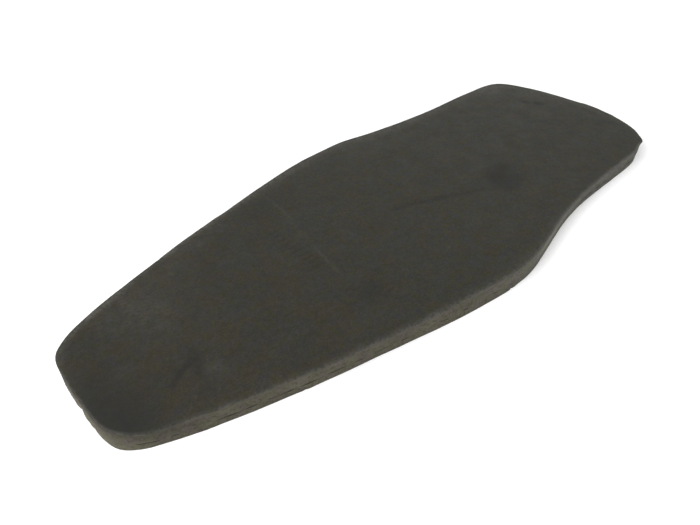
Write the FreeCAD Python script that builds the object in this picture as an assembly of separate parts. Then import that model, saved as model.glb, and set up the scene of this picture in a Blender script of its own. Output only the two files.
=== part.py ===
"""Back protector insert for a motorcycle jacket.

A flat die-cut pad of two bonded foam plies with a thin skin on each face.
Millimetres.  +X runs up the wearer's back, from the narrow lower end to the
wide upper end.  +Z points away from the wearer.  The origin is under the
middle of the pad, on the face that lies against the wearer's back.
"""
import FreeCAD, Part
import math
import os

# Overall size
LENGTH = 430.0
INNER_SKIN_THICKNESS = 0.4
COMFORT_FOAM_THICKNESS = 3.6
BOND_FILM_THICKNESS = 0.2
IMPACT_FOAM_THICKNESS = 7.2
OUTER_SKIN_THICKNESS = 0.6

# Plan shape: half widths, stations up the back from the lower end, and radii
LOWER_END_HALF_WIDTH = 34.5
LOWER_CORNER_RADIUS = 26.0
WAIST_STATION = 94.0
WAIST_HALF_WIDTH = 68.0
WAIST_RADIUS = 850.0
BLADE_STATION = 225.0
BLADE_HALF_WIDTH = 89.5
BLADE_RADIUS = 104.0
NECK_STATION = 299.0
NECK_HALF_WIDTH = 73.5
NECK_RADIUS = 330.0
UPPER_CORNER_HALF_WIDTH = 71.5
UPPER_CORNER_RADIUS = 35.0
CROWN_RADIUS = 146.0
CROWN_SLOPE_DEG = 18.5

# Small softening of the skins' outer edges
OUTER_EDGE_RADIUS = 0.45
INNER_EDGE_RADIUS = 0.25


def half_outline():
    """Corners of the right-hand side, from the lower end to the crown, each
    with the radius that rounds it: (x, y, radius)."""
    lower_end = -LENGTH / 2
    slope = math.radians(CROWN_SLOPE_DEG)
    crown = LENGTH / 2 + CROWN_RADIUS * (1 / math.cos(slope) - 1)
    upper_corner = crown - UPPER_CORNER_HALF_WIDTH * math.tan(slope)
    side = [
        (lower_end, LOWER_END_HALF_WIDTH, LOWER_CORNER_RADIUS),
        (lower_end + WAIST_STATION, WAIST_HALF_WIDTH, WAIST_RADIUS),
        (lower_end + BLADE_STATION, BLADE_HALF_WIDTH, BLADE_RADIUS),
        (lower_end + NECK_STATION, NECK_HALF_WIDTH, NECK_RADIUS),
        (upper_corner, UPPER_CORNER_HALF_WIDTH, UPPER_CORNER_RADIUS),
    ]
    return side, (crown, 0.0, CROWN_RADIUS)


def corners():
    """The whole closed outline, counterclockwise from the lower end."""
    side, crown = half_outline()
    right_side = [(x, -y, radius) for x, y, radius in side]
    left_side = list(reversed(side))
    return right_side + [crown] + left_side


def rounding(before, corner, after):
    """Start, middle and end of the arc that rounds a corner."""
    point = FreeCAD.Vector(corner[0], corner[1], 0)
    back = (FreeCAD.Vector(before[0], before[1], 0) - point).normalize()
    ahead = (FreeCAD.Vector(after[0], after[1], 0) - point).normalize()
    half_angle = back.getAngle(ahead) / 2
    radius = corner[2]
    setback = radius / math.tan(half_angle)
    to_middle = radius / math.sin(half_angle) - radius
    inward = (back + ahead).normalize()
    return point + back * setback, point + inward * to_middle, point + ahead * setback


def outline_wire():
    """Straight runs joined by tangent arcs, in the XY plane."""
    points = corners()
    count = len(points)
    arcs = []
    for i in range(count):
        arcs.append(rounding(points[i - 1], points[i], points[(i + 1) % count]))
    edges = []
    for i, (start, middle, end) in enumerate(arcs):
        edges.append(Part.Arc(start, middle, end).toShape())
        next_start = arcs[(i + 1) % count][0]
        edges.append(Part.LineSegment(end, next_start).toShape())
    return Part.Wire(edges)


def sheet(bottom, thickness):
    """One flat layer with the pad's outline."""
    face = Part.Face(outline_wire())
    face.translate(FreeCAD.Vector(0, 0, bottom))
    return face.extrude(FreeCAD.Vector(0, 0, thickness))


def rim_edges(shape, height):
    """The edges that run round a layer at one height."""
    level = []
    for edge in shape.Edges:
        box = edge.BoundBox
        if abs(box.ZMin - height) < 1e-6 and abs(box.ZMax - height) < 1e-6:
            level.append(edge)
    return level


def build():
    """Every layer of the pad by node name, from the wearer outwards."""
    layers = {}
    height = 0.0
    for name, thickness in (
        ("inner_skin", INNER_SKIN_THICKNESS),
        ("comfort_foam", COMFORT_FOAM_THICKNESS),
        ("bond_film", BOND_FILM_THICKNESS),
        ("impact_foam", IMPACT_FOAM_THICKNESS),
        ("outer_skin", OUTER_SKIN_THICKNESS),
    ):
        layers[name] = sheet(height, thickness)
        height += thickness
    inner = layers["inner_skin"]
    outer = layers["outer_skin"]
    layers["inner_skin"] = inner.makeFillet(INNER_EDGE_RADIUS, rim_edges(inner, 0.0))
    layers["outer_skin"] = outer.makeFillet(OUTER_EDGE_RADIUS, rim_edges(outer, height))
    return layers


os.makedirs("parts", exist_ok=True)
for node, solid in build().items():
    solid.exportStep("parts/" + node + ".step")
    print(node, "valid", solid.isValid(), "volume", round(solid.Volume, 1), "mm3")
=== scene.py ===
"""Looks of a foam back protector insert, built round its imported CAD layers.

Every visible piece is a closed mesh made from the CAD outline: two cut foam
plies, the glue line between them and the skins on both faces.  Metres.
"""
import math

import bpy
import numpy as np
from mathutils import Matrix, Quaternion, Vector, noise
from mathutils.kdtree import KDTree


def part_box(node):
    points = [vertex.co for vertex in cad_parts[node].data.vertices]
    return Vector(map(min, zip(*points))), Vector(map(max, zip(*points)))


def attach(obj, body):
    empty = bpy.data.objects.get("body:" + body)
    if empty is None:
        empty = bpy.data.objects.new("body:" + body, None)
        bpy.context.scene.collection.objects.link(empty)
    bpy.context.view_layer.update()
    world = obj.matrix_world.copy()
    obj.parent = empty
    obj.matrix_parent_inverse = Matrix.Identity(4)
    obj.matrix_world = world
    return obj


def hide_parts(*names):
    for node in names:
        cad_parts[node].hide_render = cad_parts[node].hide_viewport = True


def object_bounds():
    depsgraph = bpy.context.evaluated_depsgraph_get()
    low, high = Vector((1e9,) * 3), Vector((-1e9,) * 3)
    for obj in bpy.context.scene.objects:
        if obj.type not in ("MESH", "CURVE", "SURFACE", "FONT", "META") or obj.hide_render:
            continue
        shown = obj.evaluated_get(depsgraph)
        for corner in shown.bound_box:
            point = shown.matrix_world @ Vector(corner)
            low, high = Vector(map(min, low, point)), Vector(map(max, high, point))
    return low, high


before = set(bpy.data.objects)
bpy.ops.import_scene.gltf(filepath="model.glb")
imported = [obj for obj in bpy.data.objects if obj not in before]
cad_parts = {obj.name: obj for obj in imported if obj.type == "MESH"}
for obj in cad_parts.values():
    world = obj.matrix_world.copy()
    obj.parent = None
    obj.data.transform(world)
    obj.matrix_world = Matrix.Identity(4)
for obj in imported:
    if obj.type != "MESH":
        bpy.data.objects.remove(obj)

cad_low, cad_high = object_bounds()

MM = 0.001

# Heights of the layers, from the frame
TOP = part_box("outer_skin")[1].z
SKIN_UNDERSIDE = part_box("outer_skin")[0].z
SKIN_THICKNESS = TOP - SKIN_UNDERSIDE
BOND_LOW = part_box("bond_film")[0].z
BOND_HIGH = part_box("bond_film")[1].z
BOND_MIDDLE = (BOND_LOW + BOND_HIGH) / 2
INNER_SKIN_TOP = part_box("inner_skin")[1].z
FLOOR = cad_low.z

# How finely the pieces are meshed, how many steps the outline is blurred over, and
# the angle above which an edge is shaded sharp
OUTLINE_STEPS = 4400
OUTLINE_BLUR = 8.0
SKIN_LONG_CELLS = 470
SKIN_SHORT_CELLS = 150
ROLL_STEPS = 7
INNER_ROLL_STEPS = 3
SHOULDER_STEPS = 4
WALL_SAMPLES = 2200
IMPACT_ROWS = 17
COMFORT_ROWS = 9
SHARP_ANGLE_DEG = 50

# Points of the CAD mesh that count as one: their gap in mm, their digits in metres
SAME_PLACE = 0.01
PLACE_DIGITS = 6

# Directions of the outline's normal, in degrees, where its long sides begin and end
LOWER_CORNER_NORMAL = 145.0
UPPER_CORNER_NORMAL = 55.0

# The hand-guided cut strays from the pattern: (x, y) on the outline, outward
# amount and reach each way, all in mm.  The order is counterclockwise: the side
# at -Y, the wide end, the side at +Y, the narrow end.
STRAYS = [
    ((156, -72), 0.2, 14),
    ((191, -69), 1.4, 5),
    ((194, -66), 0.6, 18),
    ((211, -37), 2.3, 16),
    ((213, -31), 0.45, 4),
    ((214, -15), 3.1, 14),
    ((215, -7), 0.5, 5),
    ((215, 8), 1.2, 14),
    ((210, 37), 2.4, 22),
    ((196, 64), 4.4, 15),
    ((160, 72), 2.0, 26),
    ((125, 73), 1.9, 26),
    ((92, 74), 2.7, 24),
    ((64, 78), 2.3, 20),
    ((33, 85), 2.3, 18),
    ((5, 88), -0.6, 12),
    ((-24, 84), 1.9, 24),
    ((-58, 79), 1.2, 22),
    ((-94, 71), 0.3, 4),
    ((-114, 66), 1.4, 28),
    ((-131, 63), 0.4, 15),
    ((-164, 52), -0.3, 7),
    ((-170, 50), 2.3, 30),
    ((-184, 46), 0.35, 8),
    ((-203, 38), 1.0, 18),
    ((-203, 39), -0.3, 7),
    ((-211, 31), 0.5, 6),
    ((-214, 20), 0.4, 14),
    ((-214, 17), -1.1, 8),
]

# The blade leans, so the lower edge stands out or in: the same columns and order,
# from the narrow end
LEANS = [
    ((-214, 20), 0.3, 4),
    ((-215, 14), 1.05, 7),
    ((-215, 8), -0.3, 14),
    ((-215, 6), 0.4, 3),
    ((-215, -3), 0.3, 4),
    ((-215, -8), 0.9, 14),
    ((-215, -11), 0.15, 5),
    ((-214, -22), -0.15, 4),
    ((-212, -28), 1.3, 9),
    ((-203, -38), -0.6, 14),
    ((-197, -40), -0.25, 5),
    ((-180, -46), 0.25, 5),
    ((-133, -61), 0.3, 4),
    ((-95, -71), -0.25, 5),
    ((-88, -72), -0.2, 34),
    ((-50, -80), 1.3, 30),
    ((-18, -85), 1.5, 26),
    ((1, -88), -0.3, 5),
    ((16, -87), 0.5, 28),
    ((90, -75), -0.8, 30),
    ((165, -72), 0.3, 18),
    ((185, -70), -1.0, 12),
    ((190, -69), -1.0, 6),
    ((213, 0), -1.2, 40),
    ((193, 66), -2.2, 24),
    ((90, 76), -1.4, 60),
    ((-22, 84), -0.8, 40),
    ((-170, 50), -0.9, 40),
]

# The cut also wavers at random, slowly and in a finer ripple drawn out along the
# cut: amount and size in mm
CUT_WAVER = 0.20
CUT_WAVER_SIZE = 24
CUT_RIPPLE = 0.10
CUT_RIPPLE_SIZE = 7
CUT_RIPPLE_SQUEEZE = (1, 1, 3)

# Open cells of the cut foam: sizes and depth in mm, the share of the smaller ones,
# and the rim at which the noise is cut off, which leaves flats between the pits
CELL_SIZE = 1.3
SMALL_CELL_SIZE = 0.7
SMALL_CELL_SHARE = 0.6
CELL_DEPTH = 0.16
CELL_RIM = 0.15

# How dark painted shade makes a pit, how deep it must be for that, in mm, and how the
# pits fade out toward the top and the bottom of a ply
CELL_PAINTED_SHADE = 0.7
CELL_PAINTED_SHADE_DEPTH = 0.10
CELL_FADE_RATE = 4
CELL_FADE_BOTTOM = 0.3

# Radius of the softened top edge, in mm, where it differs and the least that it
# leaves under the skin
ROLL_RADIUS = 1.6
ROLL_CHANGES = [
    ((-215, 0), -0.7, 34),
    ((-100, -70), 0.4, 50),
    ((-55, -79), 0.8, 18),
    ((-15, -86), 0.3, 20),
    ((40, -84), 0.3, 40),
    ((120, -73), 0.2, 45),
    ((160, -72), 0.3, 20),
    ((200, -60), -0.3, 20),
    ((213, 20), 0.5, 40),
    ((60, 79), 0.6, 110),
    ((-110, 67), 0.6, 70),
]
LEAST_UNDER_SKIN = 0.1

# The glue line where the cut shows it: its waves as (height, size, seed), its half
# height, where that differs, its swelling and its least, and how far it lies back
# from the foam at its edges and at its middle, all in mm but the seeds
SEAM_WAVES = [(0.55, 42, 5), (0.30, 12, 6)]
SEAM_HALF_HEIGHT = 0.16
SEAM_CHANGES = [
    ((-58, -78), -0.16, 34),
    ((35, -84), -0.50, 50),
]
SEAM_SWELLING = [(0.85, 6, 7)]
SEAM_LEAST = 0.04
SEAM_RECESS = 0.40
SEAM_HOLLOW = 0.05

# How far inside the cut face the flat ends of the plies and of the glue begin
CAP_INSET = 6.0

# Nicks in the cut face: (x, y) on the outline, height, half length, half height
# and depth, all in mm
NICKS = [
    ((-215, 1), 0.6, 1.3, 3.0, 0.9),
    ((-215, -3), 9.6, 1.2, 1.6, 0.8),
    ((-215, 4), 11.4, 0.8, 0.9, 0.5),
    ((-215, -7), 3.0, 0.9, 2.2, 0.5),
    ((-215, -12), 1.6, 1.2, 1.4, 0.4),
    ((213, -3), 11.4, 1.5, 1.2, 0.9),
    ((183, -70), 7.2, 6.0, 3.1, 3.4),
    ((-134, -60), 0.3, 0.9, 0.7, 0.4),
    ((-5, -87), 0.3, 1.0, 0.9, 0.5),
    ((118, -73), 6.6, 1.5, 0.8, 0.6),
    ((-30, 83), 11.0, 1.2, 1.2, 0.4),
    ((-140, 59), 10.8, 1.0, 1.2, 0.4),
    ((120, 73), 6.0, 2.0, 0.8, 0.5),
]

# Where the cut face is darkened toward its top by painted shade, which stands in for
# the floor's light on its lower part and for the shade in the undercut at the wide
# end's corner: (x, y) on the outline, strength, reach in mm, and how fast it gathers upward
TOP_SHADE = [
    ((-215, 2), 2.7, 26, 2.8),
    ((186, -70), 1.7, 5.5, 2.5),
    ((-204, -38), 0.35, 20, 0.6),
    ((-188, -44), 0.25, 26, 1.5),
]
TOP_SHADE_LIMIT = 0.9

# Where painted light makes the cut face pale: light bounced from the floor at the
# foot of the narrow end, and light on stretches of the near wall, strongest where it
# faces the side panel: (x, y) on the outline, strength, then reach, middle height and
# half height in mm
WALL_PAINTED_LIGHT = [
    ((45, -82), 1.00, 30, 6.8, 3.0),
    ((-14, -86), 0.25, 16, 6.5, 3.0),
    ((130, -73), 0.15, 40, 7.5, 2.5),
    ((-85, -73), 0.10, 40, 5.0, 4.0),
    ((-215, 0), 0.76, 26, 1.2, 5.4),
]

# The cut face yellows toward the narrow end: where that begins and how far it runs
AGED_FROM = 45
AGED_RUN = 90

# Where the skin is pale near its rim: rubbed on the near side, and a painted highlight
# along the rim of the far side and the wide end: (x, y) on the outline, strength, reach
# along it and width across it, in mm
RUBBED_AND_RIM_HIGHLIGHT = [
    ((20, 87), 0.56, 110, 7.0),
    ((100, 73), 0.10, 40, 7.0),
    ((165, 72), 0.20, 50, 6.0),
    ((213, 0), 0.42, 60, 5.0),
    ((-100, 69), 0.62, 60, 3.0),
    ((-192, 43), 0.62, 30, 2.4),
    ((-100, -70), 0.24, 80, 2.4),
    ((20, -87), 0.22, 50, 4.5),
    ((110, -73), 0.14, 60, 2.4),
]

# How pale the rolled edge is worn, and where that differs: (x, y) on the outline,
# amount, and reach in mm
EDGE_WEAR = 0.80
EDGE_WEAR_CHANGES = [
    ((-215, 2), -0.70, 30),
    ((-20, -85), -0.20, 24),
    ((45, -82), -0.62, 34),
    ((110, -73), -0.25, 30),
    ((155, -72), -0.38, 34),
]

# How far the skin sags toward its rim, and over what width, in mm
SHOULDER_DROP = 0.22
SHOULDER_WIDTH = 4.0

# Random waves of the skin's height: (height, size, seed), in mm but the seeds
SKIN_WAVES = [(0.08, 80, 8), (0.012, 16, 9), (0.010, 4, 10)]

# Dents in the skin: centre, half length, half width, turn in degrees, depth, in mm
DENTS = [
    ((74, -25), 19.0, 12.0, 49, 0.26),
    ((189, 19), 4.2, 4.4, -73, 0.38),
    ((183, 28), 4.0, 3.0, -73, 0.26),
    ((194, 24), 3.0, 1.0, -73, 0.10),
    ((-72, -43), 10.0, 6.0, 30, 0.10),
]

# Fine lines in the skin: points that the line runs through, half width and height,
# which is negative for a crease, in mm.  CREASE_END blunts the ends of the relief.
CREASES = [
    ([(-12, -6), (-8, -1), (7, -6), (18, -11), (28, -16), (50, -26), (58, -31)], 2.5, -0.26),
    ([(-184, -27), (-178, -23), (-174, -20), (-170, -19), (-163, -16)], 2.0, -0.42),
    ([(-164, -16), (-167, -24), (-170, -31)], 2.6, -0.20),
    ([(-57, 76), (-58, 62), (-60, 46), (-63, 31)], 1.3, 0.05),
    ([(-63, 34), (-66, 21), (-69, 8)], 1.3, 0.03),
    ([(-68, 11), (-72, -7), (-75, -22)], 1.3, 0.05),
    ([(-48, 8), (-45, 2), (-45, -4)], 1.0, 0.05),
    ([(60, -6), (73, -9), (90, -12)], 1.0, 0.03),
    ([(8, -46), (22, -50), (40, -58)], 0.9, -0.06),
]
CREASE_END = 0.02

# Dull dark patches on the skin: stains, but the patch at (70, -20) is painted shade
# over the oval dent: centre, half length and half width in mm, turn in degrees, strength
STAINS_AND_DENT_SHADE = [
    ((-208, -18), 22.0, 14.0, -62, 0.48),
    ((-207, -30), 14.0, 9.0, -50, 0.66),
    ((-168, -31), 5.0, 4.0, 0, 0.15),
    ((-144, 5), 6.0, 5.0, 0, 0.10),
    ((-204, 8), 14.0, 10.0, 90, 0.26),
    ((-190, -12), 14.0, 8.0, 90, 0.12),
    ((-170, -39), 7.0, 5.0, 20, 0.22),
    ((-172, -27), 12.0, 9.0, 40, 0.12),
    ((-166, -18), 3.5, 3.0, 0, 0.35),
    ((-154, 8), 9.0, 7.0, 0, 0.12),
    ((-197, 29), 8.0, 5.0, -60, 0.12),
    ((-185, 6), 9.0, 6.0, 0, 0.08),
    ((-108, -4), 9.0, 6.0, 0, 0.12),
    ((-103, 50), 8.0, 6.0, 0, 0.12),
    ((-120, 50), 7.0, 5.0, 0, 0.08),
    ((-70, 60), 16.0, 8.0, 30, 0.18),
    ((-94, 38), 11.0, 7.0, -60, 0.08),
    ((-92, -31), 4.0, 3.5, 0, 0.14),
    ((-72, -44), 11.0, 7.0, 20, 0.20),
    ((-34, 48), 26.0, 12.0, 0, 0.06),
    ((-24, -36), 10.0, 8.0, 0, 0.08),
    ((152, -22), 30.0, 20.0, 0, 0.09),
    ((70, -20), 28.0, 20.0, 49, 0.12),
    ((-206, -12), 24.0, 12.0, -62, 0.16),
    ((-150, -34), 14.0, 9.0, 20, 0.10),
    ((182, -36), 12.0, 9.0, 0, 0.10),
]

# Dusty pale patches on the skin: the same columns
PALES = [
    ((-168, 30), 22.0, 14.0, -65, 0.21),
    ((-140, 47), 20.0, 9.0, 20, 0.12),
    ((-120, 57), 18.0, 4.0, -20, 0.08),
    ((-186, 31), 9.0, 6.0, -40, 0.08),
    ((-144, 30), 8.0, 5.0, 0, 0.09),
    ((-102, 62), 7.0, 4.0, 0, 0.10),
    ((-160, 5), 16.0, 14.0, 0, 0.04),
    ((-192, -2), 6.0, 4.0, 0, 0.06),
    ((-70, -28), 7.0, 5.0, 0, 0.05),
    ((-112, 29), 7.0, 5.0, 0, 0.04),
    ((-88, -56), 14.0, 6.0, -20, 0.06),
    ((15, -46), 7.0, 5.0, 0, 0.05),
    ((203, 30), 18.0, 10.0, -70, 0.24),
    ((183, 62), 18.0, 10.0, -30, 0.34),
    ((36, 66), 36.0, 9.0, -8, 0.11),
]

# Pale specks on the skin: centre and radius in mm
SPECKS = [
    ((-175, -9), 0.9),
    ((-177, -37), 0.6),
    ((-167, -41), 0.5),
    ((-143, -54), 0.9),
    ((-68, 21), 1.5),
    ((-13, -48), 1.2),
    ((2, -34), 1.0),
    ((5, -37), 0.8),
]

# Low pillows in the skin where it has lifted: centre, half length, half width,
# turn in degrees, height, in mm
PILLOWS = [
    ((-161, -30), 5.5, 4.2, 80, 0.17),
    ((-68, 21), 4.0, 3.0, 0, 0.10),
    ((27, -59), 5.0, 4.0, 30, 0.10),
    ((15, -48), 3.0, 2.5, 0, 0.06),
]

# Rows of short wrinkles in the skin: first and last middle, count, half length and
# turn in degrees, then the width and height that they share, in mm
WRINKLE_ROWS = [
    ((-79, 33), (-79, -8), 10, 5.0, -3),
    ((-80, -34), (-65, -50), 6, 5.5, 10),
]
WRINKLE_WIDTH = 1.15
WRINKLE_HEIGHT = -0.18

# How pale a raised mark is worn and how dark a sunk one is painted with shade, for
# each mm of its height, and the most that it can be; then the waves that make the
# wear and the painted rim highlight uneven
RIDGE_WEAR = 3.2
RIDGE_WEAR_LIMIT = 0.3
CREASE_SHADE = 1.7
CREASE_SHADE_LIMIT = 0.65
DENT_SHADE = 2.1
DENT_SHADE_LIMIT = 0.6
PILLOW_WEAR = 0.9
PILLOW_WEAR_LIMIT = 0.3
WRINKLE_SHADE = 0.36
SPECK_WEAR = 0.30
WEAR_WAVES = [(0.6, 6, 13)]

# The skin is warmer toward the narrow end, where painted shade also darkens it, and
# carries a painted sheen toward the upper, wide end and the far side.  Each has the x
# where it begins and how far it runs, in mm.  The sheen has a value on the centre
# line and a rise over a width toward +Y.
WARM_SHADE_FROM = -40
WARM_SHADE_RUN = 120
WARM_SHADE_WAVES = [(0.8, 30, 12)]
SHEEN_FROM = -60
SHEEN_RUN = 255
SHEEN_MIDDLE = 0.70
SHEEN_SLANT = 0.45
SHEEN_SLANT_RUN = 60
SHEEN_LIMIT = 1.2

# The inner skin has the outer one's relief, mirrored, moved in mm and flattened,
# and its edge is rounded over a share of its thickness
INNER_SHIFT = (9, 4)
INNER_RELIEF_SHARE = 0.6
INNER_EDGE_SHARE = 0.7

# Camera: where it stands and the point it looks at, in mm from the pad's origin,
# its roll, its lens and sensor in mm, and where it begins to see, in metres
CAMERA_PLACE = (-237.3, -199.4, 224.8)
CAMERA_TARGET = (-54.35, -8.27, 0.0)
CAMERA_ROLL_DEG = -0.25
CAMERA_LENS = 29.98
CAMERA_SENSOR = 36.0
CAMERA_CLIP_START = 0.01

# Lights: name, place in metres, width in metres and power in watts
LIGHTS = [
    ("key_light", (-0.80, 0.02, 0.62), 0.6, 9.2),
    ("side_panel", (0.95, -0.85, 0.45), 1.2, 9.5),
    ("end_light", (1.10, 0.65, 0.55), 0.9, 1.3),
    ("top_light", (0.10, 0.75, 1.00), 0.8, 2.2),
]
WORLD_STRENGTH = 0.52

# The floor: half its size in metres, its grey, its finish and how much it glows
FLOOR_HALF_SIZE = 12.0
FLOOR_GREY = 0.82
FLOOR_ROUGHNESS = 0.9
FLOOR_SPECULAR = 0.1
FLOOR_GLOW = 0.21


# ---- outline

def smooth_loop(values, sigma):
    """Gaussian blur along a closed, evenly spaced loop; sigma counts samples."""
    turns = np.fft.fftfreq(len(values)) * 2 * np.pi
    spectrum = np.fft.fft(values, axis=0)
    spectrum = spectrum * np.exp(-0.5 * (turns * sigma) ** 2)[:, None]
    return np.fft.ifft(spectrum, axis=0).real


def loop_stations(points):
    """Distance along a closed loop at each point, and the whole length."""
    steps = np.linalg.norm(np.roll(points, -1, axis=0) - points, axis=1)
    ends = np.cumsum(steps)
    return np.concatenate([[0.0], ends[:-1]]), ends[-1]


def at_stations(points, stations, wanted):
    """Points of a closed loop at the wanted distances along it."""
    starts, length = stations
    knots = np.append(starts, length)
    closed = np.vstack([points, points[:1]])
    wanted = np.mod(wanted, length)
    return np.column_stack([np.interp(wanted, knots, closed[:, axis]) for axis in (0, 1)])


def frame_outline():
    """The CAD outline, counterclockwise, evenly spaced and free of facets."""
    corners = np.array([v.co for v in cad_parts["impact_foam"].data.vertices])
    level = corners[:, 2] > corners[:, 2].max() - SAME_PLACE * MM
    rim = np.unique(np.round(corners[level][:, :2], PLACE_DIGITS), axis=0)
    rim = rim[np.argsort(np.arctan2(rim[:, 1], rim[:, 0]))]
    stations = loop_stations(rim)
    even = np.arange(OUTLINE_STEPS) * stations[1] / OUTLINE_STEPS
    return smooth_loop(at_stations(rim, stations, even), OUTLINE_BLUR)


OUTLINE = frame_outline()
STATIONS = loop_stations(OUTLINE)
PERIMETER = STATIONS[1]


def outline_normals():
    """Unit normals of the outline, pointing out of the pad."""
    along = np.roll(OUTLINE, -1, axis=0) - np.roll(OUTLINE, 1, axis=0)
    along = along / np.linalg.norm(along, axis=1)[:, None]
    return np.column_stack([along[:, 1], -along[:, 0]])


NORMALS = outline_normals()


def station_of(place):
    """Distance along the outline of the point nearest a place in mm."""
    gaps = np.linalg.norm(OUTLINE - np.array(place) * MM, axis=1)
    return STATIONS[0][np.argmin(gaps)]


def gap_to(station, place):
    """Signed distance along the outline from a place in mm."""
    gap = station - station_of(place)
    return (gap + PERIMETER / 2) % PERIMETER - PERIMETER / 2


def closeness(station, place, reach):
    """1 at a place on the outline, fading smoothly over a reach, both in mm."""
    return np.exp(-((gap_to(station, place) / (reach * MM)) ** 2))


def sum_of_bumps(station, bumps):
    """The sum of smooth bumps along the outline, each (place, amount, reach)."""
    total = np.zeros_like(station)
    for place, amount, reach in bumps:
        total += amount * closeness(station, place, reach)
    return total


# ---- noise and spots

def noise_at(points, size, seed):
    """Smooth noise, about -0.7 to 0.7, with features of one size in metres."""
    shift = Vector((seed * 17.3, seed * 5.1, seed * 9.7))
    return np.array([noise.noise(Vector(p) / size + shift) for p in points])


def sum_of_waves(points, waves):
    """The sum of noise over the plan, each (amount, size in mm, seed)."""
    places = np.column_stack([points[:, :2], np.zeros(len(points))])
    return sum(amount * noise_at(places, size * MM, seed) for amount, size, seed in waves)


def turned(points, centre, degrees):
    """Plan positions about a centre in mm, along and across a turned axis."""
    angle = math.radians(degrees)
    offset = points[:, :2] - np.array(centre) * MM
    along = offset @ np.array([math.cos(angle), math.sin(angle)])
    across = offset @ np.array([-math.sin(angle), math.cos(angle)])
    return along, across


def distance_to_line(points, line):
    """Plan distance to a line through points in mm, and how far along it, 0 to 1."""
    nearest = np.full(len(points), np.inf)
    share = np.zeros(len(points))
    line = np.array(line, float) * MM
    spans = len(line) - 1
    for i in range(spans):
        run = line[i + 1] - line[i]
        offset = points[:, :2] - line[i]
        t = np.clip(offset @ run / (run @ run), 0, 1)
        gap = np.linalg.norm(offset - t[:, None] * run, axis=1)
        closer = gap < nearest
        nearest = np.where(closer, gap, nearest)
        share = np.where(closer, (i + t) / spans, share)
    return nearest, share


def oval(points, centre, half_length, half_width, turn=0):
    """Squared distance from a centre, 1 on the rim of a turned oval, all in mm."""
    along, across = turned(points, centre, turn)
    return (along / (half_length * MM)) ** 2 + (across / (half_width * MM)) ** 2


def spot(points, *place):
    """1 at the centre of an oval, fading smoothly past its rim."""
    return np.exp(-oval(points, *place))


def line_mark(points, line, half_width, end):
    """1 along a line, fading to its sides and its ends; end is where the fade stops."""
    gap, share = distance_to_line(points, line)
    fade = np.sin(np.pi * np.clip(share, end, 1 - end)) ** 0.5
    return fade * np.exp(-((gap / (half_width * MM)) ** 2))


def band(height, middle, half_height):
    """1 at a height, fading smoothly above and below it; the last two in mm."""
    return np.exp(-(((height - middle * MM) / (half_height * MM)) ** 2))


# ---- surfaces

def wall_offset(ring, height):
    """How far the cut face stands out from the CAD outline at each height."""
    station, points, normals = ring
    places = np.column_stack([points, height])
    level = np.clip((height - FLOOR) / (TOP - FLOOR), 0, 1)
    out = sum_of_bumps(station, STRAYS) + sum_of_bumps(station, LEANS) * (1 - level)
    out += CUT_WAVER * noise_at(places, CUT_WAVER_SIZE * MM, 1)
    out += CUT_RIPPLE * noise_at(places * np.array(CUT_RIPPLE_SQUEEZE), CUT_RIPPLE_SIZE * MM, 2)
    for place, middle, half_length, half_height, depth in NICKS:
        out -= depth * closeness(station, place, half_length) * band(height, middle, half_height)
    return out * MM


def cell_offset(ring, height):
    """The open cells of the cut foam: small pits, in metres, between low flats."""
    station, points, normals = ring
    places = np.column_stack([points, height])
    pits = noise_at(places, CELL_SIZE * MM, 3)
    pits += SMALL_CELL_SHARE * noise_at(places, SMALL_CELL_SIZE * MM, 4)
    return CELL_DEPTH * MM * np.minimum(pits, CELL_RIM)


def seam_height(points):
    """Height of the wavy glue line at the cut face."""
    return BOND_MIDDLE + sum_of_waves(points, SEAM_WAVES) * MM


def seam_half_height(station, points):
    """Half the height of the glue line at the cut face, thin where it is squeezed out."""
    half = SEAM_HALF_HEIGHT + sum_of_bumps(station, SEAM_CHANGES)
    half += sum_of_waves(points, SEAM_SWELLING)
    return np.maximum(half, SEAM_LEAST) * MM


def roll_radius(station):
    """Radius of the softened top edge along the outline."""
    radius = (ROLL_RADIUS + sum_of_bumps(station, ROLL_CHANGES)) * MM
    return np.maximum(radius, SKIN_THICKNESS + LEAST_UNDER_SKIN * MM)


def wrinkles(points):
    """How deep in a short wrinkle each plan position is, 0 to 1."""
    total = np.zeros(len(points))
    for first, last, count, half_length, turn in WRINKLE_ROWS:
        for i in range(count):
            t = i / (count - 1)
            centre = [a + (b - a) * t for a, b in zip(first, last)]
            total += spot(points, centre, half_length, WRINKLE_WIDTH, turn)
    return total


def skin_relief(points):
    """Height of the skin above its flat, in metres, at plan positions."""
    height = sum_of_waves(points, SKIN_WAVES)
    for *place, depth in DENTS:
        height -= depth * spot(points, *place)
    for line, half_width, rise in CREASES:
        height += rise * line_mark(points, line, half_width, CREASE_END)
    for *place, rise in PILLOWS:
        height += rise * spot(points, *place)
    return (height + WRINKLE_HEIGHT * wrinkles(points)) * MM


# ---- meshes

def ring_at(stations):
    """Station, point and outward normal at the wanted distances along the outline."""
    points = at_stations(OUTLINE, STATIONS, stations)
    normals = at_stations(NORMALS, STATIONS, stations)
    normals = normals / np.linalg.norm(normals, axis=1)[:, None]
    return np.mod(stations, PERIMETER), points, normals


def placed(ring, outward, height):
    """Mesh points of one ring, moved outward from the outline, at their heights."""
    station, points, normals = ring
    return np.column_stack([points + normals * outward[:, None], height])


def band_faces(upper, lower, count):
    """Quads between two rings, given the first index of each."""
    faces = []
    for k in range(count):
        n = (k + 1) % count
        faces.append((upper + k, lower + k, lower + n, upper + n))
    return faces


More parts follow.
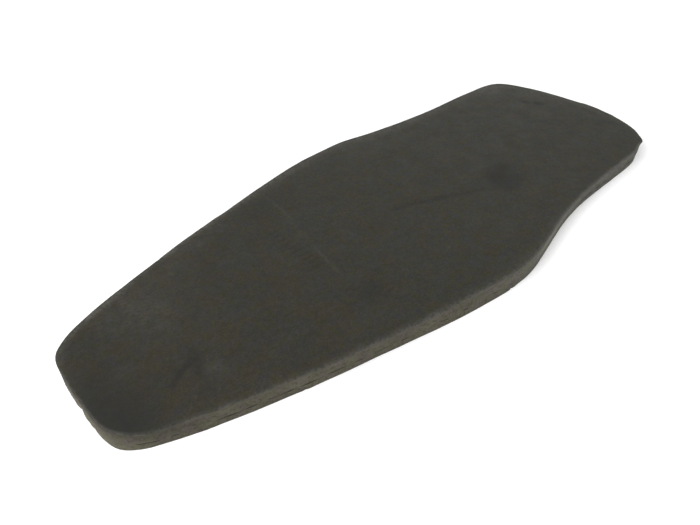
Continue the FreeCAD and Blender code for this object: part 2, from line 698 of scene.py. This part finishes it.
def finish_piece(name, points, faces, material, node, attributes=()):
    """A smooth closed mesh object that rides on the pad and stands for its CAD node."""
    mesh = bpy.data.meshes.new(name)
    mesh.from_pydata([tuple(p) for p in points], [], faces)
    mesh.validate()
    for label, values in attributes:
        layer = mesh.attributes.new(label, "FLOAT", "POINT")
        layer.data.foreach_set("value", np.asarray(values, np.float32))
    mesh.shade_smooth()
    mesh.set_sharp_from_angle(angle=math.radians(SHARP_ANGLE_DEG))
    mesh.materials.append(material)
    piece = bpy.data.objects.new(name, mesh)
    bpy.context.scene.collection.objects.link(piece)
    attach(piece, "root")
    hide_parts(node)
    return piece


def slab(name, rows, material, node, attributes=()):
    """A closed slab from rings of points, top to bottom, with a flat cap at each end."""
    count = len(rows[0])
    faces = [tuple(range(count))]
    for i in range(len(rows) - 1):
        faces += band_faces(i * count, (i + 1) * count, count)
    last = (len(rows) - 1) * count
    faces.append(tuple(range(last + count - 1, last - 1, -1)))
    return finish_piece(name, np.vstack(rows), faces, material, node, attributes)


def corner_station(degrees):
    """Distance along the outline where its normal points in a direction."""
    want = np.array([math.cos(math.radians(degrees)), math.sin(math.radians(degrees))])
    return STATIONS[0][np.argmax(NORMALS @ want)]


def skin_rim():
    """The ring round a skin's grid: near side, wide end, far side, narrow end."""
    corners = [
        corner_station(-LOWER_CORNER_NORMAL),
        corner_station(-UPPER_CORNER_NORMAL),
        corner_station(UPPER_CORNER_NORMAL),
        corner_station(LOWER_CORNER_NORMAL),
    ]
    cells = [SKIN_LONG_CELLS, SKIN_SHORT_CELLS, SKIN_LONG_CELLS, SKIN_SHORT_CELLS]
    stations = []
    for i, count in enumerate(cells):
        reach = (corners[(i + 1) % 4] - corners[i]) % PERIMETER
        stations.append(corners[i] + reach * np.arange(count) / count)
    return ring_at(np.concatenate(stations))


def filled_grid(rim):
    """Plan points that fill a rim of four sides, and each rim point's index in them."""
    long_cells, short_cells = SKIN_LONG_CELLS, SKIN_SHORT_CELLS
    closed = np.vstack([rim, rim[:1]])
    near = closed[: long_cells + 1]
    wide = closed[long_cells : long_cells + short_cells + 1]
    far = closed[long_cells + short_cells : 2 * long_cells + short_cells + 1][::-1]
    narrow = closed[2 * long_cells + short_cells :][::-1]
    u = np.linspace(0, 1, long_cells + 1)[:, None, None]
    v = np.linspace(0, 1, short_cells + 1)[None, :, None]
    grid = (1 - v) * near[:, None] + v * far[:, None]
    grid = grid + (1 - u) * narrow[None] + u * wide[None]
    grid = grid - (1 - u) * (1 - v) * near[0] - u * (1 - v) * near[-1]
    grid = grid - (1 - u) * v * far[0] - u * v * far[-1]
    index = np.arange(grid.shape[0] * grid.shape[1]).reshape(grid.shape[:2])
    border = np.concatenate(
        [index[:-1, 0], index[-1, :-1], index[:0:-1, -1], index[0, :0:-1]]
    )
    return grid.reshape(-1, 2), index, border


def grid_faces(index):
    """Quads of a grid, facing up."""
    a, b = index[:-1, :-1].ravel(), index[1:, :-1].ravel()
    c, d = index[1:, 1:].ravel(), index[:-1, 1:].ravel()
    return list(zip(a.tolist(), b.tolist(), c.tolist(), d.tolist()))


def joined_rings(border, first, count_rings, count):
    """Faces from a grid's border outward through the rings that follow the grid."""
    faces = []
    rings = [list(map(int, border))]
    for i in range(count_rings):
        rings.append(list(range(first + i * count, first + (i + 1) * count)))
    for inner, outer in zip(rings, rings[1:]):
        for k in range(count):
            n = (k + 1) % count
            faces.append((inner[k], outer[k], outer[n], inner[n]))
    return faces


# ---- materials

class Shader:
    """A node material built from short calls."""

    def __init__(self, name):
        self.material = bpy.data.materials.new(name)
        self.material.use_nodes = True
        self.tree = self.material.node_tree
        self.tree.nodes.clear()
        output = self.tree.nodes.new("ShaderNodeOutputMaterial")
        self.surface = self.tree.nodes.new("ShaderNodeBsdfPrincipled")
        self.link(self.surface.outputs["BSDF"], output.inputs["Surface"])
        self.places = self.tree.nodes.new("ShaderNodeTexCoord").outputs["Object"]

    def link(self, source, target):
        """Joins an output to an input."""
        self.tree.links.new(source, target)

    def put(self, node, socket, value):
        """Links a socket, or sets a plain value."""
        if isinstance(value, bpy.types.NodeSocket):
            self.link(value, node.inputs[socket])
        else:
            node.inputs[socket].default_value = value

    def noise(self, size, detail=2.0, stretch=(1, 1, 1)):
        """Noise from 0 to 1 with features of one size in metres."""
        mapping = self.tree.nodes.new("ShaderNodeMapping")
        self.link(self.places, mapping.inputs["Vector"])
        mapping.inputs["Scale"].default_value = [s / size for s in stretch]
        texture = self.tree.nodes.new("ShaderNodeTexNoise")
        self.link(mapping.outputs["Vector"], texture.inputs["Vector"])
        texture.inputs["Scale"].default_value = 1.0
        texture.inputs["Detail"].default_value = detail
        return texture.outputs["Fac"]

    def cells(self, size):
        """Distance to the nearest cell centre, with cells of one size in metres."""
        texture = self.tree.nodes.new("ShaderNodeTexVoronoi")
        self.link(self.places, texture.inputs["Vector"])
        texture.inputs["Scale"].default_value = 1 / size
        return texture.outputs["Distance"]

    def attribute(self, label):
        """A mark that the mesh carries at each point."""
        node = self.tree.nodes.new("ShaderNodeAttribute")
        node.attribute_name = label
        return node.outputs["Fac"]

    def math(self, operation, a, b, clamp=False):
        """Two values combined by a Math node."""
        node = self.tree.nodes.new("ShaderNodeMath")
        node.operation = operation
        node.use_clamp = clamp
        self.put(node, 0, a)
        self.put(node, 1, b)
        return node.outputs[0]

    def spread(self, value, low, high, to_low=0.0, to_high=1.0):
        """Maps a value from one range to another, held at the ends."""
        node = self.tree.nodes.new("ShaderNodeMapRange")
        self.put(node, "Value", value)
        for socket, number in zip(("From Min", "From Max", "To Min", "To Max"),
                                  (low, high, to_low, to_high)):
            node.inputs[socket].default_value = number
        return node.outputs["Result"]

    def mix(self, factor, a, b, blend="MIX"):
        """Mixes two colours."""
        node = self.tree.nodes.new("ShaderNodeMix")
        node.data_type = "RGBA"
        node.blend_type = blend
        self.put(node, "Factor", factor)
        colours = [s for s in node.inputs if s.type == "RGBA"]
        for socket, value in zip(colours, (a, b)):
            if isinstance(value, bpy.types.NodeSocket):
                self.link(value, socket)
            else:
                socket.default_value = (*value, 1.0)
        return [s for s in node.outputs if s.type == "RGBA"][0]

    def scaled(self, colour, factor):
        """A colour multiplied by a grey factor."""
        grey = self.tree.nodes.new("ShaderNodeCombineColor")
        for socket in ("Red", "Green", "Blue"):
            self.put(grey, socket, factor)
        return self.mix(1.0, colour, grey.outputs[0], "MULTIPLY")

    def mottled(self, colour, size, detail, dark, light):
        """A colour multiplied by noise of a size in metres, between two grey factors."""
        factor = self.spread(self.noise(size, detail), *NOISE_SPAN, dark, light)
        return self.scaled(colour, factor)

    def tinted(self, colour, factor, first, second):
        """A colour multiplied by a mix of two tints."""
        return self.mix(1.0, colour, self.mix(factor, first, second), "MULTIPLY")

    def bump(self, height, distance, strength, under=None):
        """A normal raised by a height, over another normal where one is given."""
        node = self.tree.nodes.new("ShaderNodeBump")
        self.put(node, "Height", height)
        node.inputs["Distance"].default_value = distance
        node.inputs["Strength"].default_value = strength
        if under is not None:
            self.link(under, node.inputs["Normal"])
        return node.outputs["Normal"]


# The span that nearly all of the Noise node's values lie in
NOISE_SPAN = (0.3, 0.7)

# Colours of the skin, linear, and the tints that mottle it.  The narrow end's warm
# colour is also painted shade, the upper colour is a painted sheen, the stain colour
# is also painted shade in creases, dents and wrinkles, and the worn colour is also a
# painted highlight on the far rim
SKIN_DARK = (0.0180, 0.0178, 0.0124)
SKIN_LIGHT = (0.0200, 0.0198, 0.0142)
SKIN_WARM_SHADE = (0.0152, 0.0144, 0.0092)
SKIN_PAINTED_SHEEN = (0.0218, 0.0219, 0.0163)
SKIN_BROWN = (0.0216, 0.0189, 0.0124)
SKIN_WORN_AND_HIGHLIGHT = (0.060, 0.057, 0.047)
SKIN_STAIN_AND_SHADE = (0.0062, 0.0062, 0.0051)
WARM_TINT = (1.09, 0.98, 0.78)
COOL_TINT = (0.94, 1.02, 1.14)
OLIVE_TINT = (0.96, 1.05, 0.78)
PURPLE_TINT = (1.06, 0.96, 1.20)

# Colours of the cut foam and of the glue, and the tints that mottle the foam.  The pit
# colour is painted shade in the open cells, the soiled colour is painted shade toward
# the top of the face, and the scuffed colour is painted light
FOAM_BODY = (0.064, 0.0600, 0.0490)
FOAM_PALE = (0.090, 0.0855, 0.0725)
FOAM_PIT_SHADE = (0.037, 0.0343, 0.0272)
FOAM_TOP_SHADE = (0.015, 0.0140, 0.0112)
FOAM_PAINTED_LIGHT = (0.124, 0.118, 0.099)
FOAM_WARM_TINT = (1.01, 0.987, 0.88)
FOAM_COOL_TINT = (0.97, 1.00, 1.01)
FOAM_OLIVE_TINT = (0.98, 1.025, 0.90)
FOAM_PINK_TINT = (1.03, 0.98, 1.07)
BOND_COLOUR = (0.018, 0.0166, 0.0138)

# Sizes of the skin's pattern, in mm, from the broadest to the finest
SKIN_MOTTLE_SIZE = 55
SKIN_BROWN_SIZE = 38
SKIN_GLOSS_SIZE = 14
SKIN_DUST_SPACING = 11
SKIN_WARMTH_SIZE = 8
SKIN_FLECK_SIZE = 6
SKIN_HUE_SIZE = 4
SKIN_SHADE_SIZE = 2.8
SKIN_BREAKUP_SIZE = 1.6
SKIN_PORE_SPACING = 1.1
SKIN_SPECKLE_SIZE = 1.0
SKIN_GRAIN_SIZE = 0.7

# How strong the flecks and the dust are, how much wear shows where it isn't broken
# up, the depths of the grain and the pores in mm, and the skin's finish
SKIN_FLECK_STRENGTH = 0.5
SKIN_DUST_STRENGTH = 0.35
SKIN_EVEN_WEAR = 0.45
SKIN_GRAIN_DEPTH = 0.07
SKIN_PORE_DEPTH = 0.03
SKIN_ROUGHNESS = (0.60, 0.72)
SKIN_SPECULAR = 0.27

# The same for the cut foam; each ply has its own spacing of cells
FOAM_MOTTLE_SIZE = 22
FOAM_HUE_SIZE = 6
FOAM_STREAK_SIZE = 4
FOAM_STREAK_STRETCH = (0.6, 0.6, 1.5)
FOAM_GRAIN_SIZE = 0.9
FOAM_SPECKLE_SIZE = 0.8
IMPACT_CELL_SPACING = 0.75
COMFORT_CELL_SPACING = 0.95
FOAM_SPECKLE_STRENGTH = 0.55
# how dark painted shade makes the open cells
FOAM_HOLE_SHADE = 0.70
FOAM_GRAIN_DEPTH = 0.16
FOAM_CELL_DEPTH = 0.12
FOAM_ROUGHNESS = 0.92
FOAM_SPECULAR = 0.22

# The same for the glue
BOND_DRY_SIZE = 3
BOND_GLOSS_SIZE = 6
BOND_GRAIN_SIZE = 0.8
BOND_GRAIN_DEPTH = 0.1
BOND_ROUGHNESS = (0.45, 0.8)


def skin_material(name, marked):
    """Smooth dark foam skin: mottled, faintly grained, paler where it is worn; its marks also
    paint shade, a sheen and a rim highlight.
    """
    s = Shader(name)
    mottle = s.spread(s.noise(SKIN_MOTTLE_SIZE * MM, 3), 0.35, 0.65)
    colour = s.mix(mottle, SKIN_DARK, SKIN_LIGHT)
    brown = s.spread(s.noise(SKIN_BROWN_SIZE * MM), 0.45, 0.75)
    if marked:
        # the upper mark is a painted sheen toward the wide end and the far side
        colour = s.mix(s.attribute("upper"), colour, SKIN_PAINTED_SHEEN)
        # warmer toward the narrow end, and darker there with painted shade
        colour = s.mix(s.attribute("warm_and_shade"), colour, SKIN_WARM_SHADE)
        brown = s.math("MULTIPLY", brown, s.attribute("warm_and_shade"))
    colour = s.mix(brown, colour, SKIN_BROWN)
    flecks = s.spread(s.noise(SKIN_FLECK_SIZE * MM, 3), 0.40, 0.68, 0.0, SKIN_FLECK_STRENGTH)
    colour = s.mix(flecks, colour, SKIN_BROWN)
    warmth = s.spread(s.noise(SKIN_WARMTH_SIZE * MM, 3), 0.38, 0.62)
    colour = s.tinted(colour, warmth, WARM_TINT, COOL_TINT)
    hue = s.spread(s.noise(SKIN_HUE_SIZE * MM), 0.36, 0.64)
    colour = s.tinted(colour, hue, OLIVE_TINT, PURPLE_TINT)
    colour = s.mottled(colour, SKIN_SHADE_SIZE * MM, 3, 0.83, 1.17)
    colour = s.mottled(colour, SKIN_SPECKLE_SIZE * MM, 2, 0.72, 1.28)
    if marked:
        # stains, and painted shade in creases, dents and wrinkles
        colour = s.mix(s.attribute("stain_and_shade"), colour, SKIN_STAIN_AND_SHADE)
        breakup = s.spread(s.noise(SKIN_BREAKUP_SIZE * MM, 4), 0.36, 0.60)
        breakup = s.math("ADD", breakup, SKIN_EVEN_WEAR)
        worn_and_highlight = s.math("MULTIPLY", s.attribute("wear_and_highlight"), breakup, clamp=True)
        # pale wear, and a painted highlight along the far rim
        colour = s.mix(worn_and_highlight, colour, SKIN_WORN_AND_HIGHLIGHT)
    dust = s.spread(s.cells(SKIN_DUST_SPACING * MM), 0.030, 0.020)
    colour = s.mix(s.math("MULTIPLY", dust, SKIN_DUST_STRENGTH), colour, SKIN_WORN_AND_HIGHLIGHT)
    s.put(s.surface, "Base Color", colour)
    gloss = s.noise(SKIN_GLOSS_SIZE * MM, 4)
    s.put(s.surface, "Roughness", s.spread(gloss, *NOISE_SPAN, *SKIN_ROUGHNESS))
    s.surface.inputs["Specular IOR Level"].default_value = SKIN_SPECULAR
    grain = s.bump(s.noise(SKIN_GRAIN_SIZE * MM, 3), SKIN_GRAIN_DEPTH * MM, 0.5)
    pores = s.spread(s.cells(SKIN_PORE_SPACING * MM), 0.05, 0.35)
    s.put(s.surface, "Normal", s.bump(pores, SKIN_PORE_DEPTH * MM, 0.30, grain))
    return s.material


def foam_material(name, cell_spacing):
    """Cut closed-cell foam: speckled with open cells in painted shade, streaked along the cut,
    with painted shade toward the top and painted light from the face's marks.
    """
    s = Shader(name)
    streaks = s.noise(FOAM_STREAK_SIZE * MM, 4, FOAM_STREAK_STRETCH)
    colour = s.mix(s.spread(streaks, 0.35, 0.68), FOAM_BODY, FOAM_PALE)
    speckle = s.spread(s.noise(FOAM_SPECKLE_SIZE * MM, 4), 0.42, 0.60)
    colour = s.mix(s.math("MULTIPLY", speckle, FOAM_SPECKLE_STRENGTH), colour, FOAM_PALE)
    cells = s.cells(cell_spacing * MM)
    # painted shade in the open cells
    hole_shade = s.math("MULTIPLY", s.spread(cells, 0.34, 0.12), FOAM_HOLE_SHADE)
    colour = s.mix(hole_shade, colour, FOAM_PIT_SHADE)
    colour = s.mottled(colour, FOAM_MOTTLE_SIZE * MM, 2, 0.90, 1.10)
    # painted shade in the deeper pits
    colour = s.mix(s.attribute("pit_painted_shade"), colour, FOAM_PIT_SHADE)
    # painted shade toward the top of the face
    colour = s.mix(s.attribute("painted_top_shade"), colour, FOAM_TOP_SHADE)
    # painted light: floor bounce at the foot of the narrow end and light on the near walls
    colour = s.mix(s.attribute("painted_wall_light"), colour, FOAM_PAINTED_LIGHT)
    hue = s.spread(s.noise(FOAM_HUE_SIZE * MM), 0.38, 0.62)
    colour = s.tinted(colour, hue, FOAM_OLIVE_TINT, FOAM_PINK_TINT)
    colour = s.tinted(colour, s.attribute("aged"), FOAM_COOL_TINT, FOAM_WARM_TINT)
    s.put(s.surface, "Base Color", colour)
    s.surface.inputs["Roughness"].default_value = FOAM_ROUGHNESS
    s.surface.inputs["Specular IOR Level"].default_value = FOAM_SPECULAR
    grain = s.bump(s.noise(FOAM_GRAIN_SIZE * MM, 4), FOAM_GRAIN_DEPTH * MM, 0.6)
    pits = s.spread(cells, 0.1, 0.5)
    s.put(s.surface, "Normal", s.bump(pits, FOAM_CELL_DEPTH * MM, 0.7, grain))
    return s.material


def bond_material():
    """Dark contact adhesive, smooth in places and dry in others."""
    s = Shader("glue_line")
    dry = s.spread(s.noise(BOND_DRY_SIZE * MM, 3), 0.4, 0.65)
    s.put(s.surface, "Base Color", s.mix(dry, BOND_COLOUR, SKIN_LIGHT))
    gloss = s.noise(BOND_GLOSS_SIZE * MM)
    s.put(s.surface, "Roughness", s.spread(gloss, *NOISE_SPAN, *BOND_ROUGHNESS))
    grain = s.noise(BOND_GRAIN_SIZE * MM, 3)
    s.put(s.surface, "Normal", s.bump(grain, BOND_GRAIN_DEPTH * MM, 0.6))
    return s.material


# ---- pieces

def nearest_rim(points):
    """Plan distance of each point from the outline, and the station it is nearest to."""
    tree = KDTree(len(OUTLINE))
    for i, (x, y) in enumerate(OUTLINE):
        tree.insert((x, y, 0.0), i)
    tree.balance()
    found = [tree.find((x, y, 0.0)) for x, y in points[:, :2]]
    station = STATIONS[0][[index for place, index, gap in found]]
    return np.array([gap for place, index, gap in found]), station


def wear_stain_and_painted_light(points, rolled):
    """Where the skin is pale, from wear and a painted rim highlight, and where it is dark, from
    stains and painted shade in its creases, dents and wrinkles, each about 0 to 1.
    """
    inset, station = nearest_rim(points)
    wear_and_highlight = (EDGE_WEAR + sum_of_bumps(station, EDGE_WEAR_CHANGES)) * rolled
    # rubbed pale on the near side, and a painted highlight on the far rim
    for place, strength, reach, width in RUBBED_AND_RIM_HIGHLIGHT:
        across = np.exp(-((inset / (width * MM)) ** 2))
        wear_and_highlight += strength * closeness(station, place, reach) * across
    stain_and_shade = np.zeros(len(points))
    for line, half_width, rise in CREASES:
        mark = line_mark(points, line, half_width, 0)
        if rise > 0:
            wear_and_highlight = np.maximum(wear_and_highlight, min(RIDGE_WEAR * rise, RIDGE_WEAR_LIMIT) * mark)
        else:
            # painted shade in a sunk crease
            stain_and_shade = np.maximum(stain_and_shade, min(-CREASE_SHADE * rise, CREASE_SHADE_LIMIT) * mark)
    for *place, depth in DENTS:
        mark = np.exp(-(oval(points, *place) ** 3))
        # painted shade in a dent
        stain_and_shade = np.maximum(stain_and_shade, min(DENT_SHADE * depth, DENT_SHADE_LIMIT) * mark)
    # stains; the patch over the oval dent is painted shade
    for *place, strength in STAINS_AND_DENT_SHADE:
        stain_and_shade += strength * spot(points, *place) * (1 - stain_and_shade)
    for *place, strength in PALES:
        wear_and_highlight += strength * spot(points, *place) * (1 - rolled)
    # painted shade in the wrinkles
    stain_and_shade = np.maximum(stain_and_shade, WRINKLE_SHADE * np.clip(wrinkles(points), 0, 1))
    for *place, rise in PILLOWS:
        mark = spot(points, *place)
        wear_and_highlight = np.maximum(wear_and_highlight, min(PILLOW_WEAR * rise, PILLOW_WEAR_LIMIT) * mark)
    for centre, radius in SPECKS:
        wear_and_highlight = np.maximum(wear_and_highlight, SPECK_WEAR * spot(points, centre, radius, radius))
    return wear_and_highlight * (1 + sum_of_waves(points, WEAR_WAVES)), stain_and_shade


def skin_marks(points, rolled):
    """What the outer skin carries at each point: wear with a painted rim highlight, stains with
    painted shade, warmth with painted shade, and a painted sheen.
    """
    wear_and_highlight, stain_and_shade = wear_stain_and_painted_light(points, rolled)
    x, y = points[:, 0], points[:, 1]
    # a warm tint and painted shade toward the narrow end
    warm_and_shade = np.clip((WARM_SHADE_FROM * MM - x) / (WARM_SHADE_RUN * MM), 0, 1)
    warm_and_shade = np.clip(warm_and_shade * (1 + sum_of_waves(points, WARM_SHADE_WAVES)), 0, 1)
    # upper: a painted sheen toward the wide end and the far side
    upper = np.clip((x - SHEEN_FROM * MM) / (SHEEN_RUN * MM), 0, 1)
    upper = upper * (SHEEN_MIDDLE + SHEEN_SLANT * y / (SHEEN_SLANT_RUN * MM))
    upper = np.clip(upper, 0, SHEEN_LIMIT)
    return [("wear_and_highlight", wear_and_highlight), ("stain_and_shade", stain_and_shade), ("warm_and_shade", warm_and_shade), ("upper", upper)]


def outer_skin(material):
    """The skin on the outer face: a relief grid whose rim rolls over the foam's edge."""
    ring = skin_rim()
    station = ring[0]
    count = len(station)
    radius = roll_radius(station)
    flush = wall_offset(ring, TOP - radius)
    edge = placed(ring, flush - radius, np.full(count, TOP))
    plan, index, border = filled_grid(edge[:, :2])
    inset = nearest_rim(plan)[0]
    shoulder = SHOULDER_DROP * MM * np.exp(-((inset / (SHOULDER_WIDTH * MM)) ** 2))
    relief = skin_relief(plan) - shoulder
    points = [np.column_stack([plan, TOP + relief])]
    rolled = [np.zeros(len(plan))]
    edge_relief = relief[border]
    for i in range(1, ROLL_STEPS + 1):
        angle = math.pi / 2 * i / ROLL_STEPS
        out = flush - radius * (1 - math.sin(angle))
        height = TOP - radius * (1 - math.cos(angle)) + edge_relief * math.cos(angle)
        points.append(placed(ring, out, height))
        rolled.append(np.full(count, (i / ROLL_STEPS) ** 2.0))
    inner_radius = radius - SKIN_THICKNESS
    for i in range(ROLL_STEPS, -1, -1):
        angle = math.pi / 2 * i / ROLL_STEPS
        out = flush - radius + inner_radius * math.sin(angle)
        height = TOP - radius + inner_radius * math.cos(angle)
        points.append(placed(ring, out, height))
        rolled.append(np.ones(count))
    rings = 2 * ROLL_STEPS + 1
    first = len(plan)
    faces = grid_faces(index) + joined_rings(border, first, rings, count)
    last = first + (rings - 1) * count
    faces.append(tuple(range(last + count - 1, last - 1, -1)))
    points = np.vstack(points)
    marks = skin_marks(points, np.concatenate(rolled))
    return finish_piece(
        "outer_skin_sheet", points, faces, material, "outer_skin", marks
    )


def inner_skin(material):
    """The skin on the face against the wearer: flat on the floor, with shallow relief."""
    ring = skin_rim()
    count = len(ring[0])
    thickness = INNER_SKIN_TOP - FLOOR
    edge_radius = INNER_EDGE_SHARE * thickness
    flush = wall_offset(ring, np.full(count, INNER_SKIN_TOP))
    edge = placed(ring, flush - edge_radius, np.full(count, FLOOR))
    plan, index, border = filled_grid(edge[:, :2])
    mirrored = plan * np.array([1, -1]) + np.array(INNER_SHIFT) * MM
    relief = np.abs(skin_relief(mirrored)) * INNER_RELIEF_SHARE
    border_relief = relief[border]
    points = [np.column_stack([plan, FLOOR + relief])]
    for i in range(1, INNER_ROLL_STEPS + 1):
        angle = math.pi / 2 * i / INNER_ROLL_STEPS
        out = flush - edge_radius * (1 - math.sin(angle))
        height = FLOOR + edge_radius * (1 - math.cos(angle)) + border_relief * math.cos(angle)
        points.append(placed(ring, out, height))
    points.append(placed(ring, flush, np.full(count, INNER_SKIN_TOP)))
    rings = INNER_ROLL_STEPS + 1
    first = len(plan)
    faces = grid_faces(index) + joined_rings(border, first, rings, count)
    faces = [tuple(reversed(face)) for face in faces]
    last = first + (rings - 1) * count
    faces.append(tuple(range(last, last + count)))
    points = np.vstack(points)
    return finish_piece(
        "inner_skin_sheet", points, faces, material, "inner_skin"
    )


def wall_ring():
    """The evenly spaced ring that the cut faces are built on."""
    return ring_at(np.arange(WALL_SAMPLES) * PERIMETER / WALL_SAMPLES)


def flat_ring(ring, height):
    """A ring well inside the cut face, at one height, where a cap can be flat."""
    count = len(ring[0])
    return placed(ring, np.full(count, -CAP_INSET * MM), np.full(count, height))


def face_marks(rows, pit_painted_shades):
    """Marks of a cut foam face: painted shade in the open cells and toward the top, painted
    light, and yellowing, each 0 to 1.
    """
    painted_top_shade, painted_wall_light = [], []
    station, points, normals = wall_ring()
    aged = np.clip((AGED_FROM * MM - points[:, 0]) / (AGED_RUN * MM), 0, 1)
    for row in rows:
        height = row[:, 2] - FLOOR
        level = np.clip(height / (TOP - FLOOR), 0, 1)
        dark = np.zeros(len(station))
        # painted shade that gathers toward the top of the face
        for place, strength, reach, power in TOP_SHADE:
            dark += strength * level ** power * closeness(station, place, reach)
        painted_top_shade.append(dark)
        painted_lit = np.zeros(len(station))
        # painted light on the cut face
        for place, strength, reach, middle, half_height in WALL_PAINTED_LIGHT:
            across = band(height, middle, half_height)
            painted_lit += strength * across * closeness(station, place, reach)
        painted_wall_light.append(painted_lit)
    return [
        ("pit_painted_shade", np.concatenate(pit_painted_shades)),
        ("painted_top_shade", np.clip(np.concatenate(painted_top_shade), 0, TOP_SHADE_LIMIT)),
        ("painted_wall_light", np.clip(np.concatenate(painted_wall_light), 0, 1)),
        ("aged", np.tile(aged, len(rows))),
    ]


def cut_rows(ring, high, low, count_rows):
    """Rings down a cut foam face, with its cells, and the painted shade at each point."""
    rows, pit_painted_shades = [], []
    for i in range(count_rows + 1):
        t = i / count_rows
        height = high + (low - high) * t
        fade = min(1.0, CELL_FADE_RATE * t, CELL_FADE_RATE * (1 - t) + CELL_FADE_BOTTOM)
        pits = cell_offset(ring, height)
        rows.append(placed(ring, wall_offset(ring, height) + pits * fade, height))
        # painted shade in the deeper pits
        pit_painted_shade = np.clip(-pits / (CELL_PAINTED_SHADE_DEPTH * MM), 0, 1)
        pit_painted_shades.append(CELL_PAINTED_SHADE * fade * pit_painted_shade)
    return rows, pit_painted_shades


def impact_foam(material):
    """The thick outer ply: its shoulder sits under the rolled skin, its cut face below."""
    ring = wall_ring()
    station, points, normals = ring
    radius = roll_radius(station)
    inner_radius = radius - SKIN_THICKNESS
    flush = wall_offset(ring, TOP - radius)
    rows, pit_painted_shades = [], []
    for i in range(SHOULDER_STEPS + 1):
        angle = math.pi / 2 * i / SHOULDER_STEPS
        out = flush - radius + inner_radius * math.sin(angle)
        rows.append(placed(ring, out, TOP - radius + inner_radius * math.cos(angle)))
        pit_painted_shades.append(np.zeros(len(station)))
    low = seam_height(points) + seam_half_height(station, points)
    face, pit_painted_shade = cut_rows(ring, TOP - radius, low, IMPACT_ROWS)
    rows += face + [flat_ring(ring, BOND_HIGH)]
    pit_painted_shades += pit_painted_shade + [np.zeros(len(station))]
    attributes = face_marks(rows, pit_painted_shades)
    return slab("impact_foam_ply", rows, material, "impact_foam", attributes)


def bond_line(material):
    """The glue film, wavy and a little recessed where the cut shows it."""
    ring = wall_ring()
    station, points, normals = ring
    middle = seam_height(points)
    half = seam_half_height(station, points)
    out = wall_offset(ring, middle) - SEAM_RECESS * MM
    rows = [
        flat_ring(ring, BOND_HIGH),
        placed(ring, out, middle + half),
        placed(ring, out - SEAM_HOLLOW * MM, middle),
        placed(ring, out, middle - half),
        flat_ring(ring, BOND_LOW),
    ]
    return slab("bond_glue_line", rows, material, "bond_film")


def comfort_foam(material):
    """The thin ply against the wearer, between the glue line and the inner skin."""
    ring = wall_ring()
    station, points, normals = ring
    high = seam_height(points) - seam_half_height(station, points)
    low = np.full(len(station), INNER_SKIN_TOP)
    face, pit_painted_shade = cut_rows(ring, high, low, COMFORT_ROWS)
    rows = [flat_ring(ring, BOND_LOW)] + face
    attributes = face_marks(rows, [np.zeros(len(station))] + pit_painted_shade)
    return slab("comfort_foam_ply", rows, material, "comfort_foam", attributes)


def build_pad():
    """Every piece, from the outer skin to the wearer; only the outer skin is marked."""
    outer_skin(skin_material("outer_skin_rubber", True))
    impact = impact_foam(foam_material("impact_foam_cut", IMPACT_CELL_SPACING))
    bond_line(bond_material())
    comfort = comfort_foam(foam_material("comfort_foam_cut", COMFORT_CELL_SPACING))
    inner_skin(skin_material("inner_skin_rubber", False))


# ---- stage

def make_floor():
    """A wide pale floor under the pad, faintly lit from within."""
    size = FLOOR_HALF_SIZE
    mesh = bpy.data.meshes.new("floor")
    plan = [(-size, -size), (size, -size), (size, size), (-size, size)]
    mesh.from_pydata([(x, y, FLOOR) for x, y in plan], [], [(0, 1, 2, 3)])
    floor = bpy.data.objects.new("floor", mesh)
    bpy.context.scene.collection.objects.link(floor)
    s = Shader("pale_floor")
    s.surface.inputs["Base Color"].default_value = (FLOOR_GREY, FLOOR_GREY, FLOOR_GREY, 1)
    s.surface.inputs["Roughness"].default_value = FLOOR_ROUGHNESS
    s.surface.inputs["Specular IOR Level"].default_value = FLOOR_SPECULAR
    s.surface.inputs["Emission Color"].default_value = (1, 1, 1, 1)
    s.surface.inputs["Emission Strength"].default_value = FLOOR_GLOW
    mesh.materials.append(s.material)


def area_light(name, place, size, energy):
    """A round soft light that faces the pad's origin."""
    data = bpy.data.lights.new(name, "AREA")
    data.shape = "DISK"
    data.size = size
    data.energy = energy
    light = bpy.data.objects.new(name, data)
    light.location = place
    light.rotation_mode = "QUATERNION"
    light.rotation_quaternion = (-Vector(place)).to_track_quat("-Z", "Y")
    bpy.context.scene.collection.objects.link(light)


def make_lights():
    """An even white surround and four soft lights."""
    world = bpy.data.worlds.new("studio")
    world.use_nodes = True
    background = world.node_tree.nodes["Background"]
    background.inputs["Color"].default_value = (1, 1, 1, 1)
    background.inputs["Strength"].default_value = WORLD_STRENGTH
    bpy.context.scene.world = world
    for name, place, size, energy in LIGHTS:
        area_light(name, place, size, energy)


def make_camera():
    """The camera that sees the pad as the photograph does."""
    data = bpy.data.cameras.new("camera")
    data.lens = CAMERA_LENS
    data.sensor_width = CAMERA_SENSOR
    data.clip_start = CAMERA_CLIP_START
    camera = bpy.data.objects.new("camera", data)
    camera.location = Vector(CAMERA_PLACE) * MM
    ahead = (Vector(CAMERA_TARGET) - Vector(CAMERA_PLACE)).to_track_quat("-Z", "Y")
    camera.rotation_mode = "QUATERNION"
    camera.rotation_quaternion = ahead @ Quaternion((0, 0, 1), math.radians(CAMERA_ROLL_DEG))
    bpy.context.scene.collection.objects.link(camera)
    bpy.context.scene.camera = camera


make_camera()
make_floor()
make_lights()
build_pad()
bpy.context.scene.view_settings.view_transform = "Standard"
